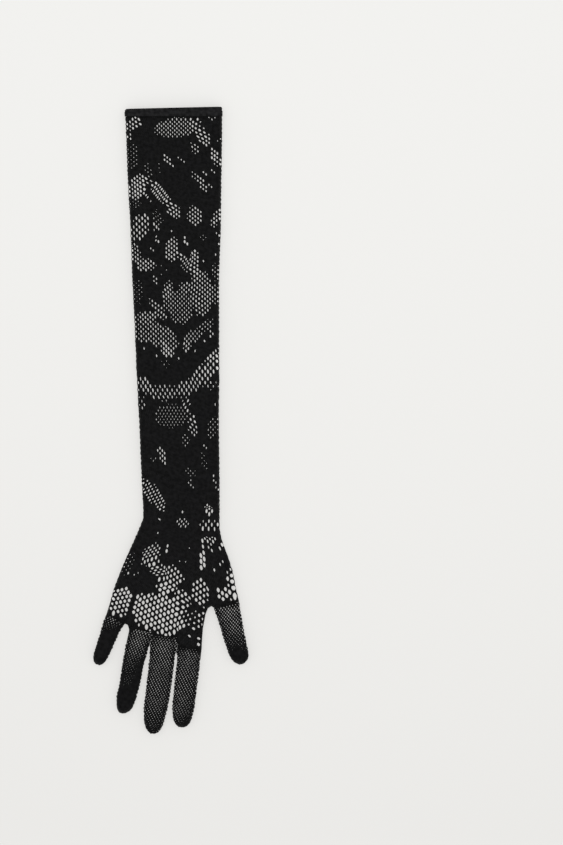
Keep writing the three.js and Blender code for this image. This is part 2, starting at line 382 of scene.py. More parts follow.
def nearest_on(outline, point):
    """The spot of the outline that is nearest to a point."""
    best = None
    for start, end in edges_of(outline):
        spot, share = intersect_point_line(point, start, end)
        spot = Vector(spot[:2]) if 0.0 <= share <= 1.0 else (start if share < 0.0 else end)
        if best is None or (spot - point).length < (best - point).length:
            best = spot
    return best


print("corners of the sleeve's outline:", len(sleeve_outline()))

# %% [markdown]
# ## A net of six-sided cells
#
# Openwork lace of this kind is a net of staggered cells, one column half a stitch lower than
# the next. One six-sided face is made, copied down into a column, set beside a second column
# that is half a cell lower, and the pair is copied across. The spin operator with no angle
# makes such a row of copies in one call, and welding the doubled corners turns the copies
# into one connected net.

# %% Flat net
WELD = 0.01


def flat_net(columns, rows):
    """A net in which cells are 1 apart across and 1 apart along, with its grid place kept."""
    net = bmesh.new()
    bmesh.ops.create_circle(net, cap_ends=True, segments=6, radius=1.0)
    bmesh.ops.rotate(net, verts=net.verts, matrix=Matrix.Rotation(math.pi / 6.0, 3, "Z"))
    bmesh.ops.scale(net, verts=net.verts, vec=(2.0 / 3.0, 1.0 / math.sqrt(3.0), 1.0))
    copy_along(net, (0.0, 1.0, 0.0), rows - 1)
    pair = bmesh.ops.duplicate(net, geom=net.verts[:] + net.edges[:] + net.faces[:])
    moved = [item for item in pair["geom"] if isinstance(item, bmesh.types.BMVert)]
    bmesh.ops.translate(net, verts=moved, vec=(1.0, 0.5, 0.0))
    copy_along(net, (2.0, 0.0, 0.0), columns // 2 - 1)
    bmesh.ops.remove_doubles(net, verts=net.verts, dist=WELD)
    place = net.verts.layers.float_vector.new("place")
    for vert in net.verts:
        vert[place] = vert.co
    return net


def copy_along(net, step, copies):
    """A straight row of copies of the whole net, one step apart."""
    everything = net.verts[:] + net.edges[:] + net.faces[:]
    bmesh.ops.spin(
        net, geom=everything, axis=(0.0, 0.0, 1.0), cent=(0.0, 0.0, 0.0), dvec=step,
        angle=0.0, steps=copies, use_duplicate=True,
    )


trial = flat_net(4, 3)
print("cells in a trial net:", len(trial.faces), "corners:", len(trial.verts))
trial.free()

# %% [markdown]
# ## How the sleeve's stitches lie
#
# A machine-knitted sleeve has the same number of stitch columns all the way, so they crowd
# together at the wrist and spread in the hand. The height of a row changes too: it is tall
# in the scalloped band across the forearm and in the hand. The hand's rows run downhill
# towards the thumb, and the gaps lean a little. Where a flower was knitted tighter, looser or
# on the slant, the rows and columns round it are pulled along with it.

# %% Stitch table of the sleeve
SLEEVE_COLUMNS = 34
STITCHES = [
    # y, row height, downhill slope, gap width, gap height, gap lean
    (279.0, 3.85, 0.00, 0.28, 0.30, 0.25),
    (190.0, 3.85, 0.00, 0.27, 0.29, 0.20),
    (120.0, 4.1, 0.00, 0.25, 0.28, 0.18),
    (95.0, 4.3, 0.00, 0.25, 0.28, 0.16),
    (59.0, 4.6, 0.00, 0.26, 0.28, 0.16),
    (53.0, 6.8, 0.00, 0.25, 0.23, 0.25),
    (17.0, 6.8, 0.00, 0.24, 0.23, 0.25),
    (12.0, 5.0, 0.00, 0.25, 0.25, 0.05),
    (-40.0, 4.6, 0.00, 0.27, 0.28, 0.00),
    (-70.0, 4.0, 0.00, 0.29, 0.28, -0.20),
    (-95.0, 4.5, 0.00, 0.29, 0.29, 0.05),
    (-120.0, 5.0, 0.12, 0.33, 0.33, 0.12),
    (-135.0, 5.1, 0.20, 0.38, 0.36, 0.10),
    (-150.0, 5.3, 0.26, 0.40, 0.368, 0.10),
    (-220.0, 5.4, 0.30, 0.40, 0.368, 0.10),
]
STITCHES.sort()
SPARE_COLUMNS = 8
HAND_START = -115.0
SPREAD = [
    # y, left, right: what the stitch columns spread between
    (-220.0, -76.0, 58.0),
    (-166.1, -61.0, 56.6),
    (-140.3, -49.4, 54.5),
    (-125.6, -41.6, 51.6),
    *[row[:3] for row in SLEEVE if row[0] > HAND_START],
]
SLOPE_CENTRE = 5.0
SLOPE_ROUNDS = 4
FIRST_ROW = 283.3
LAST_ROW = -232.0
PULLS = [
    # name, x, y, reach across, reach along, wider, taller, lean, slope
    ("top_band", 2.3, 268.2, 21.0, 11.0, 0.77, 1.00, 0.0, 0.0),
    ("vine_a", -9.2, 208.4, 11.0, 11.0, 0.93, 0.95, 0.50, 0.0),
    ("coarse_bloom", -27.6, 177.6, 11.0, 12.0, 1.10, 1.40, 0.0, 0.0),
    ("bloom_link", 13.3, 143.5, 6.0, 8.0, 0.97, 0.95, 0.35, 0.0),
    ("bloom_neck", 24.0, 144.9, 6.0, 11.0, 1.15, 0.95, 0.0, 0.0),
    ("big_net_mid", 7.4, 107.0, 14.0, 12.0, 0.88, 1.00, 0.0, 0.0),
    ("leaf_c", 20.7, 76.8, 9.0, 7.0, 0.84, 1.05, 0.0, 0.0),
    ("fine_fan", 0.9, 4.1, 16.0, 11.0, 0.73, 1.05, 0.0, 0.0),
    ("scallop_e", 36.0, 48.0, 12.0, 14.0, 1.15, 1.00, 0.0, 0.0),
    ("wrist_leaf", -15.5, -68.6, 11.0, 16.0, 1.10, 0.95, 0.50, 0.25),
    ("wrist_row", 36.3, -94.0, 9.0, 8.0, 1.25, 1.45, 0.0, 0.0),
    ("spray", -17.0, -122.0, 7.0, 7.0, 1.05, 0.78, 0.10, 0.0),
    ("spray_neck", -13.3, -139.0, 6.0, 8.0, 1.35, 0.55, 0.0, 0.0),
    ("hand_neck", -4.1, -153.6, 7.0, 4.5, 1.25, 0.75, 0.0, 0.0),
    ("little_net", -46.6, -165.1, 12.0, 14.0, 1.00, 0.92, 0.0, 0.15),
    ("thumb_net", 51.8, -156.0, 11.0, 9.0, 1.00, 1.00, -0.10, -0.35),
    ("slits", 14.0, -181.0, 6.0, 11.0, 0.90, 0.95, 0.30, 0.1),
]
PULL_FADE = 0.8


def row_levels():
    """How far up the arm each row of stitches lies, from the hem down."""
    levels = [FIRST_ROW]
    while levels[-1] > LAST_ROW:
        levels.append(levels[-1] - reading(STITCHES, levels[-1])[0])
    return levels


ROW_LEVELS = row_levels()


def sleeve_place(column, row):
    """Where a point of the sleeve's net lies on the table, in millimetres."""
    whole = min(max(int(math.floor(row)), 0), len(ROW_LEVELS) - 2)
    level = ROW_LEVELS[whole] + (row - whole) * (ROW_LEVELS[whole + 1] - ROW_LEVELS[whole])
    slope = reading(STITCHES, level)[1]
    share = (column - SPARE_COLUMNS + 0.5) / SLEEVE_COLUMNS
    y = level
    for _ in range(SLOPE_ROUNDS):
        left, right = reading(SPREAD, y)
        x = left + share * (right - left)
        y = level - slope * (x - SLOPE_CENTRE)
    return pulled(x, y)


def pulled(x, y):
    """Where a point lies once the knitting round each pulled patch is stretched or slanted."""
    shift_x = shift_y = 0.0
    for _, centre_x, centre_y, reach_x, reach_y, wider, taller, lean, slope in PULLS:
        off_x, off_y = x - centre_x, y - centre_y
        away = math.hypot(off_x / reach_x, off_y / reach_y)
        fade = min(max((1.0 + PULL_FADE - away) / PULL_FADE, 0.0), 1.0)
        grip = fade * fade * (3.0 - 2.0 * fade)
        shift_x += grip * ((wider - 1.0) * off_x + lean * off_y)
        shift_y += grip * ((taller - 1.0) * off_y - slope * off_x)
    return x + shift_x, y + shift_y


print("rows of stitches:", len(ROW_LEVELS))

# %% [markdown]
# ## The lace chart
#
# A lace designer draws the openwork as patches on squared paper. Here each patch is an
# ellipse with a name, a place, a size, a turn and how wide its gaps are. A cell whose
# middle falls in a patch is opened, and one that only touches the border of a broad patch
# gets a smaller gap. The patches were placed one by one beside the real lace, which shows
# stems, leaves, buds and larger blooms scattered up the arm, a scalloped band, and a wide
# net over the knuckles.

# %% Openwork patches
OPENWORK = [
    # name, x, y, half length, half width, turn, gap size
    ("top_corner", -33.6, 271.9, 7.8, 5.5, 25, 1.0),
    ("top_edge_pair", -38.2, 259.9, 3.2, 2.8, 0, 1.0),
    ("top_band", 6.0, 268.5, 19.8, 8.8, 6, 0.86),
    ("top_band_end", 22.1, 274.2, 5.5, 5.5, 0, 1.0),
    ("top_tail", 29.9, 260.8, 9.2, 4.8, -60, 1.0),
    ("top_diamond", 22.5, 249.8, 5.7, 3.5, -55, 0.8),
    ("top_faint", 38.2, 276.0, 3.7, 2.8, 0, 0.6),
    ("edge_bits", 45.1, 257.1, 2.8, 1.8, 0, 0.6),
    ("sprig_a", -2.5, 238.5, 8.5, 2.7, -58, 1.0),
    ("sprig_b", 9.7, 239.2, 4.4, 1.7, -50, 0.7),
    ("edge_leaf", 41.7, 241.5, 8.3, 3.6, -65, 1.1),
    ("sprig_c", 39.1, 228.3, 4.6, 1.8, -65, 0.9),
    ("sprig_d", 32.2, 226.5, 4.6, 1.7, -70, 0.9),
    ("leaf_a", 29.0, 217.1, 8.5, 2.9, -62, 0.95),
    ("leaf_a_side", 22.8, 223.3, 6.3, 2.4, -62, 0.6),
    ("sprig_e", 37.3, 214.1, 4.4, 1.8, -55, 0.9),
    ("left_bloom", -29.9, 213.9, 12.0, 7.9, 62, 1.12),
    ("lone_eyelet_a", -21.3, 205.2, 1.7, 1.7, 0, 1.0),
    ("lone_eyelet_b", -17.4, 200.8, 1.3, 1.3, 0, 0.8),
    ("vine_a", -9.2, 208.4, 13.3, 4.8, -50, 1.1),
    ("vine_b", 3.0, 192.3, 7.8, 5.3, -50, 1.0),
    ("bud_a", 22.5, 187.7, 8.5, 6.6, -90, 0.95),
    ("edge_bud", 43.2, 186.3, 8.7, 3.5, 62, 1.1),
    ("coarse_bloom", -27.6, 177.6, 12.9, 7.4, 65, 0.98),
    ("bud_b", -12.9, 177.3, 4.1, 3.1, -60, 1.1),
    ("ring_faint", 29.9, 167.9, 2.8, 3.3, 0, 0.45),
    ("sprig_f", -12.6, 164.7, 5.2, 2.0, -65, 1.1),
    ("sprig_g", -16.5, 156.1, 4.4, 1.7, -60, 0.8),
    ("sprig_h", -0.6, 173.7, 2.8, 1.5, 40, 0.9),
    ("sprig_i", 13.5, 165.0, 5.2, 1.9, -70, 1.25),
    ("edge_eyelet_a", 43.7, 171.6, 2.6, 2.0, -60, 1.0),
    ("edge_eyelet_b", 43.5, 161.0, 2.0, 1.8, 0, 1.0),
    ("edge_eyelet_c", 43.2, 151.8, 2.0, 1.8, 0, 1.0),
    ("left_leaf", -32.2, 153.2, 10.1, 4.4, -78, 1.0),
    ("left_bud", -23.0, 142.1, 7.9, 5.3, 8, 1.08),
    ("sprig_j", -13.7, 127.9, 6.1, 2.3, -68, 0.9),
    ("faint_e", -9.7, 141.7, 4.1, 1.7, 0, 0.5),
    ("faint_f", -1.4, 137.5, 2.4, 1.7, 0, 0.55),
    ("faint_g", -8.3, 133.2, 4.6, 1.1, -8, 0.42),
    ("bloom_top", 1.4, 156.4, 10.4, 6.1, -100, 1.05),
    ("bloom_link", 13.0, 144.9, 9.9, 3.6, -60, 1.0),
    ("bloom_neck", 22.5, 143.1, 12.7, 4.4, -88, 1.08),
    ("neck_pair", 29.9, 146.6, 2.8, 1.8, 40, 0.9),
    ("big_net_right", 28.5, 116.4, 20.7, 9.9, -88, 0.95),
    ("big_net_mid", 7.4, 108.1, 14.4, 9.8, -5, 0.8),
    ("big_net_foot", 10.1, 98.0, 9.9, 9.6, 0, 0.8),
    ("big_net_spike", -2.3, 118.2, 8.8, 4.0, 78, 1.05),
    ("big_net_notch", 14.3, 121.9, 5.7, 4.6, 0, 0.95),
    ("edge_net_a", 41.9, 135.9, 7.5, 3.1, -90, 0.8),
    ("edge_net_b", 40.9, 115.5, 8.6, 3.7, -85, 0.9),
    ("leaf_b", -11.2, 101.7, 11.6, 3.9, -54, 0.95),
    ("left_net_edge", -26.7, 85.1, 13.8, 7.9, -78, 0.9),
    ("left_net_top", -21.2, 93.8, 8.3, 6.1, -20, 1.0),
    ("left_net_mid", -8.7, 76.8, 17.0, 9.8, -32, 0.9),
    ("left_net_tip", -2.9, 64.4, 7.2, 4.8, -60, 1.2),
    ("leaf_c", 20.7, 76.8, 9.0, 5.3, 32, 0.82),
    ("leaf_c_stem", 15.7, 68.5, 6.4, 3.3, -95, 1.05),
    ("leaf_d", 32.5, 86.8, 8.5, 3.9, 36, 0.75),
    ("sprig_k", 37.2, 79.5, 4.6, 1.9, -80, 1.0),
    ("eyelet_a", -23.5, 65.8, 1.9, 1.9, 0, 1.0),
    ("eyelet_b", -11.7, 59.2, 1.9, 1.9, 0, 1.0),
    ("eyelet_c", 7.4, 56.4, 1.9, 1.9, 0, 1.0),
    ("eyelet_d", 22.3, 62.3, 1.9, 1.9, 0, 1.0),
    ("eyelet_e", 32.2, 71.8, 1.9, 1.9, 0, 1.0),
    ("scallop_a", -23.0, 31.3, 8.7, 6.1, -32, 1.15),
    ("scallop_b", -6.9, 24.8, 12.9, 7.0, -3, 1.0),
    ("scallop_c", 14.3, 29.4, 13.3, 6.8, 24, 1.05),
    ("scallop_d", 29.9, 41.9, 12.0, 7.9, 47, 1.08),
    ("scallop_e", 39.1, 51.1, 14.3, 7.4, 68, 1.2),
    ("scallop_foot", 37.3, 31.7, 6.4, 3.5, 12, 0.8),
    ("left_drop", -25.7, 15.8, 5.9, 3.1, -80, 1.0),
    ("drop_a", 14.6, 13.5, 6.3, 3.2, -82, 1.0),
    ("fine_fan", 0.9, 4.1, 15.1, 10.5, 0, 0.64),
    ("drop_b", 20.7, -4.6, 10.7, 4.0, -82, 0.95),
    ("faint_a", 14.3, -18.4, 5.7, 3.1, -75, 0.6),
    ("edge_fan", 39.1, -6.9, 10.1, 4.6, 76, 0.65),
    ("edge_pair", 41.9, 13.1, 2.6, 1.6, -60, 0.9),
    ("faint_b", 31.1, -23.9, 4.4, 1.9, -80, 0.8),
    ("sprig_l", -7.6, -32.2, 9.6, 3.0, -68, 1.05),
    ("faint_c", -15.6, -37.1, 3.9, 2.4, 0, 0.5),
    ("faint_d", 18.4, -47.8, 5.5, 3.3, -30, 0.5),
    ("sprig_m", 19.6, -60.0, 6.6, 2.1, -65, 0.7),
    ("edge_sprig", 41.8, -58.9, 8.6, 1.8, -76, 0.95),
    ("wrist_leaf", -15.5, -68.6, 17.0, 5.7, -56, 0.92),
    ("eyelet_f", -8.6, -90.6, 1.8, 1.8, 0, 0.9),
    ("eyelet_g", -10.3, -104.0, 1.7, 1.7, 0, 0.8),
    ("eyelet_h", 12.4, -84.2, 1.8, 1.8, 0, 1.2),
    ("wrist_bud", 11.5, -94.4, 6.6, 4.0, -8, 0.82),
    ("wrist_drop", 35.6, -83.1, 5.9, 3.3, -80, 1.15),
    ("wrist_row", 36.3, -96.9, 9.0, 4.4, 0, 0.95),
    ("thumb_arc", 35.9, -109.8, 6.4, 2.8, 0, 1.0),
    ("chain", 30.1, -125.1, 15.2, 2.5, -90, 1.15),
    ("thumb_pair", 38.2, -119.2, 2.9, 2.0, 45, 0.9),
    ("thumb_edge", 47.0, -116.5, 4.2, 2.0, -52, 1.1),
    ("thumb_faint", 47.7, -131.6, 4.0, 2.8, 0, 0.7),
    ("thumb_faint_b", 38.0, -138.0, 2.6, 2.0, 0, 0.8),
    ("hand_spray", -17.5, -123.3, 10.6, 7.0, 62, 0.84),
    ("hand_spray_b", -12.0, -138.0, 12.4, 5.9, -62, 0.88),
    ("slit", -2.8, -118.5, 5.2, 1.6, -90, 1.1),
    ("hand_top", 1.8, -142.6, 11.5, 8.1, -35, 0.86),
    ("hand_neck", -3.2, -153.6, 8.7, 6.0, 0, 1.0),
    ("hand_net", -11.4, -177.0, 23.0, 17.2, -6, 1.0),
    ("hand_net_foot", -1.4, -186.3, 14.3, 12.4, -8, 1.0),
    ("hand_net_right", 10.6, -166.1, 8.3, 9.2, 0, 0.9),
    ("hand_net_left", -27.2, -173.0, 7.4, 13.4, 4, 1.0),
    ("little_net", -46.6, -165.1, 12.5, 9.6, 42, 1.0),
    ("little_net_foot", -48.3, -173.9, 8.7, 6.0, -15, 0.95),
    ("hand_dots", -38.6, -140.6, 1.6, 3.4, 0, 0.75),
    ("hand_dots_b", -31.3, -141.0, 3.2, 2.6, 0, 0.45),
    ("hand_dots_c", -46.0, -142.0, 2.2, 2.2, 0, 0.5),
    ("hand_dots_d", 15.2, -117.5, 2.6, 2.2, 0, 0.45),
    ("hand_dots_e", 14.9, -131.8, 2.2, 2.8, 0, 0.4),
    ("hand_dots_f", 7.8, -129.0, 1.8, 1.8, 0, 0.4),
    ("hand_dots_g", -25.8, -130.5, 1.6, 2.4, 0, 0.5),
    ("hand_edge", -38.6, -131.6, 10.6, 3.4, 64, 0.42),
    ("thumb_faint_c", 37.5, -116.6, 2.4, 2.8, 0, 0.7),
    ("oval", 27.5, -157.9, 11.6, 8.0, -90, 0.86),
    ("thumb_net", 51.8, -159.0, 10.1, 6.8, 14, 1.05),
    ("thumb_net_top", 57.1, -147.7, 9.7, 4.0, -72, 1.1),
    ("index_slits", 13.9, -180.8, 10.4, 4.6, -82, 0.62),
    ("index_edge", 27.9, -183.6, 12.6, 4.6, 64, 0.8),
    ("index_faint", 21.2, -179.4, 5.5, 4.1, 60, 0.45),
    ("index_dot", 17.8, -199.2, 2.0, 2.4, 0, 0.66),
    ("index_edge_dots", 27.4, -203.8, 4.2, 1.8, -90, 0.75),
    ("swirl_h", -20.2, 230.9, 8.7, 2.0, -75, 0.45),
    ("swirl_i", -9.8, 231.8, 6.0, 1.7, -78, 0.4),
    ("swirl_a", -35.0, 242.9, 12.0, 5.5, -90, 0.5),
    ("swirl_b", -32.7, 198.7, 5.5, 5.5, -30, 0.5),
    ("swirl_c", -12.0, 186.3, 7.4, 4.1, -60, 0.5),
    ("swirl_d", -30.8, 117.8, 11.0, 5.1, -90, 0.5),
    ("swirl_e", -19.8, 228.2, 7.4, 2.8, -65, 0.5),
    ("swirl_f", 30.8, -36.8, 8.3, 2.8, -70, 0.4),
    ("swirl_g", -5.1, 51.5, 3.7, 3.7, 0, 0.5),
]
BORDER_REACH = 0.7
BORDER_GAP = 0.62
BROAD_PATCH = 3.0


def gap_size(x, y):
    """How wide the gaps are at a place, or 0 where the knitting is close."""
    widest = 0.0
    for _, centre_x, centre_y, half_length, half_width, turn, size in OPENWORK:
        angle = math.radians(turn)
        off_x, off_y = x - centre_x, y - centre_y
        along = off_x * math.cos(angle) + off_y * math.sin(angle)
        across = off_y * math.cos(angle) - off_x * math.sin(angle)
        away = math.hypot(along / half_length, across / half_width)
        if away < 1.0:
            widest = max(widest, size)
        elif (away - 1.0) * half_width < BORDER_REACH and half_width > BROAD_PATCH:
            widest = max(widest, size * BORDER_GAP)
    return widest


print("patches in the chart:", len(OPENWORK))

# %% [markdown]
# ## Fitting a net into an outline
#
# The flat net is laid on the table by moving every corner to its place. Cells whose middle
# falls outside the outline are cut away, and the corners left on the border are pulled on to
# the outline, as a knitter picks up the edge stitches of a piece. A knitted edge has one
# small tooth to a row and fuzzy yarn, so those corners are pushed in and out by the size of
# the teeth and shaken by most of that size again.

# %% Lay a net on the table
EDGE_SEED = 3
EDGE_FUZZ = 0.8
TOUCHING = 0.06


def lay_net(net, outline, corners, place_of, teeth_at):
    """Places a net, cuts it to an outline and gives its folded edge small teeth.

    teeth_at(x, y) is the size of the teeth in millimetres, or None on a line where two
    pieces join. The net is pulled right into the corners.
    """
    chance = random.Random(EDGE_SEED)
    place = net.verts.layers.float_vector["place"]
    fold = net.verts.layers.int.new("fold")
    for vert in net.verts:
        x, y = place_of(vert[place].x, vert[place].y)
        vert.co = (x, y, 0.0)
    outside = [face for face in net.faces
               if not is_inside(outline, face.calc_center_median().to_2d())]
    bmesh.ops.delete(net, geom=outside, context="FACES")
    for vert in net.verts:
        if vert.is_boundary:
            spot = nearest_on(outline, vert.co.to_2d())
            teeth = teeth_at(spot.x, spot.y)
            if teeth is not None:
                vert[fold] = 1
                inside = sum((face.calc_center_median() for face in vert.link_faces), Vector())
                outward = (spot - inside.to_2d() / len(vert.link_faces)).normalized()
                spot += outward * teeth * math.cos(math.tau * vert[place].y)
                shake = Vector((chance.uniform(-1, 1), chance.uniform(-1, 1)))
                spot += shake * teeth * EDGE_FUZZ
            vert.co = (*spot, 0.0)
    rim = [vert for vert in net.verts if vert.is_boundary]
    for x, y in corners:
        corner = Vector((x, y, 0.0))
        nearest = min(rim, key=lambda vert: (vert.co - corner).length)
        nearest.co = corner
    bmesh.ops.remove_doubles(net, verts=rim, dist=TOUCHING)


# %% [markdown]
# A gap starts as an inset: the inner face gets extra corners, they are set on an oval that
# follows the cell's own size and slant, and then the face is deleted. What stays around it
# are the strands. No two gaps of real lace are quite alike, so each is nudged a little. The
# nudge is drawn from the cell's own place in the net, so the glove is the same every time and
# the two layers still match.

# %% Open the gaps of a net
GAP_JITTER = 0.11
GAP_SLIP = 0.035
INSET = 0.05


def cell_frame(face, place):
    """The middle of a cell, and its vectors for one step across and one step along."""
    corners = [(vert.co, vert[place]) for vert in face.verts]
    count = len(corners)
    middle = sum((at for at, _ in corners), Vector()) / count
    grid_middle = sum((on for _, on in corners), Vector()) / count
    offsets = [(at - middle, on - grid_middle) for at, on in corners]
    across = sum((at * on.x for at, on in offsets), Vector()) / sum(on.x ** 2 for _, on in offsets)
    along = sum((at * on.y for at, on in offsets), Vector()) / sum(on.y ** 2 for _, on in offsets)
    return middle, grid_middle, across, along


def open_gaps(net, gap_of, rounded):
    """Cuts a gap in each six-sided cell for which gap_of has one, and counts them.

    gap_of(x, y) gives a gap's half width, half height, lean and squareness, or None.
    """
    place = net.verts.layers.float_vector["place"]
    chosen = {}
    for face in net.faces:
        middle = face.calc_center_median()
        gap = gap_of(middle.x, middle.y)
        if gap and len(face.verts) == 6:
            chosen[face] = (gap, cell_frame(face, place))
    if not chosen:
        return 0
    bmesh.ops.inset_individual(net, faces=list(chosen), thickness=INSET, use_even_offset=True)
    if rounded:
        rims = {edge for face in chosen for edge in face.edges}
        bmesh.ops.subdivide_edges(net, edges=list(rims), cuts=1)
    for face, (gap, cell) in chosen.items():
        shape_gap(face, gap, cell, place)
    bmesh.ops.delete(net, geom=list(chosen), context="FACES")
    return len(chosen)


def shape_gap(face, gap, cell, place):
    """Sets the corners of a cell's inner face on the oval of its gap."""
    half_width, half_height, lean, squareness = gap
    middle, grid_middle, across, along = cell
    chance = random.Random(f"{grid_middle.x:.1f} {grid_middle.y:.1f}")
    grow = 1.0 + chance.uniform(-GAP_JITTER, GAP_JITTER)
    slip = (across * chance.uniform(-GAP_SLIP, GAP_SLIP)
            + along * chance.uniform(-GAP_SLIP, GAP_SLIP))
    for vert in face.verts:
        off = vert.co - middle
        turn = math.atan2(off.dot(along) / along.length_squared,
                          off.dot(across) / across.length_squared)
        reach = grow / (abs(math.cos(turn)) ** squareness
                        + abs(math.sin(turn)) ** squareness) ** (1.0 / squareness)
        grid_x = reach * (half_width * math.cos(turn) + lean * half_height * math.sin(turn))
        grid_y = reach * half_height * math.sin(turn)
        vert.co = middle + slip + across * grid_x + along * grid_y
        vert[place] = grid_middle + Vector((grid_x, grid_y, 0.0))


print("gaps differ by up to", GAP_JITTER)

# %% [markdown]
# Once the flat net is cut, it is draped: each corner gets the height of the cloth there. The
# under layer drifts outwards a little, up to about 0.6 mm, because the camera looks at the
# ends of the glove on the slant and has to see through both layers. Corners on the fold
# don't drift, because both layers meet there. The upper layer's faces point up and the under
# layer's point down. A cell that is creased over the wrong way at the rim is dropped, with
# any scrap of net that then hangs on nothing. The corners' places in the grid are kept as a
# texture map, so that the stitches of the material follow the columns and rows of the
# knitting.

# %% Drape a net and turn it into an object
STITCH_MAP_SCALE = 0.25
SCRAP_FACES = 20


def drop_scraps(net):
    """Deletes the small bits of net that hang on nothing."""
    seen, scraps = set(), []
    for first in net.faces:
        if first in seen:
            continue
        group, waiting = {first}, [first]
        while waiting:
            near = {face for edge in waiting.pop().edges for face in edge.link_faces} - group
            group |= near
            waiting.extend(near)
        seen |= group
        if len(group) < SCRAP_FACES:
            scraps.extend(group)
    bmesh.ops.delete(net, geom=scraps, context="FACES")


def map_stitches(net):
    """Keeps the corners' places in the grid as a texture map."""
    place = net.verts.layers.float_vector["place"]
    stitches = net.loops.layers.uv.new("stitches")
    for face in net.faces:
        for loop in face.loops:
            grid = loop.vert[place]
            loop[stitches].uv = (grid.x * STITCH_MAP_SCALE, grid.y * STITCH_MAP_SCALE)


def drape(net, upper):
    """Lifts a net from the table to the upper or the under layer, and turns it to metres."""
    fold = net.verts.layers.int["fold"]
    for vert in net.verts:
        if vert[fold]:
            vert.co.z = fold_height(vert.co.x, vert.co.y)
            continue
        high = cloth_height(vert.co.x, vert.co.y, True)
        low = cloth_height(vert.co.x, vert.co.y, False)
        if not upper:
            drift = (high - low) * MM / camera.location.z
            vert.co.x += (vert.co.x - camera.location.x / MM) * drift
            vert.co.y += (vert.co.y - camera.location.y / MM) * drift
        vert.co.z = high if upper else low
    map_stitches(net)
    net.normal_update()
    faces_up = sum(face.normal.z for face in net.faces) > 0.0
    if faces_up != upper:
        bmesh.ops.reverse_faces(net, faces=net.faces)
    creased = [face for face in net.faces if (face.normal.z > 0.0) != upper]
    bmesh.ops.delete(net, geom=creased, context="FACES")
    drop_scraps(net)
    bmesh.ops.scale(net, verts=net.verts, vec=(MM, MM, MM))


def thicken(piece, title, thickness):
    """Gives a piece the thickness of its cloth, inwards from the faces."""
    cloth = piece.modifiers.new(title, "SOLIDIFY")
    cloth.thickness = thickness
    cloth.offset = -1.0


def cloth_object(name, nets, thickness, material):
    """Joins draped nets in one object and gives them the thickness of the yarn."""
    whole = bmesh.new()
    for net in nets:
        layer = mesh_of(name + "_layer", net)
        whole.from_mesh(layer)
        bpy.data.meshes.remove(layer)
    for face in whole.faces:
        face.smooth = True
    mesh = mesh_of(name, whole)
    mesh.materials.append(material)
    piece = new_object(name, mesh)
    thicken(piece, "yarn", thickness)
    return piece


print("one stitch repeat on the map:", STITCH_MAP_SCALE)

# %% [markdown]
# ## Materials
#
# The yarn is matt black nylon. Real black cloth still shows its stitches: tiny loops that
# catch the light, small changes of tone from yarn to yarn, and a soft sheen at glancing
# angles. One function makes the three finishes, which differ in stitch size, tone and relief.
# The stitches are two crossed wave patterns laid on the texture map, so they follow the
# knitting. They and a cloudy mottle blend a dark and a light tone of the yarn: the raised
# loops get a painted glint, and the mottle gives the yarn's own changes of tone.

# %% Yarn finishes
DARK_YARN = (0.3, 0.3, 0.32)
# the light tone is partly a painted glint on the raised loops and partly the yarn's own lighter
# tone
LIGHT_YARN_WITH_PAINTED_GLINT = (3.4, 3.36, 3.5)
LOOP_SCALE = 1.7
PAINTED_GLINT_SHARE = 0.5
STITCH_DEPTH = 0.25 * MM
MOTTLE_SCALE = 320.0


def new_material(name, sockets):
    """A material and its shader, with the shader's sockets set."""
    material = bpy.data.materials.new(name)
    material.use_nodes = True
    shader = material.node_tree.nodes["Principled BSDF"]
    for socket, value in sockets.items():
        shader.inputs[socket].default_value = value
    return material, shader


def add_node(material, kind, sockets=(), **settings):
    """A new node, with its own settings and the values of its sockets."""
    node = material.node_tree.nodes.new("ShaderNode" + kind)
    for setting, value in settings.items():
        setattr(node, setting, value)
    for socket, value in dict(sockets).items():
        node.inputs[socket].default_value = value
    return node


def join_nodes(material, joints):
    """Each joint is a node, its output, the next node and its input."""
    for source, output, target, socket in joints:
        material.node_tree.links.new(source.outputs[output], target.inputs[socket])


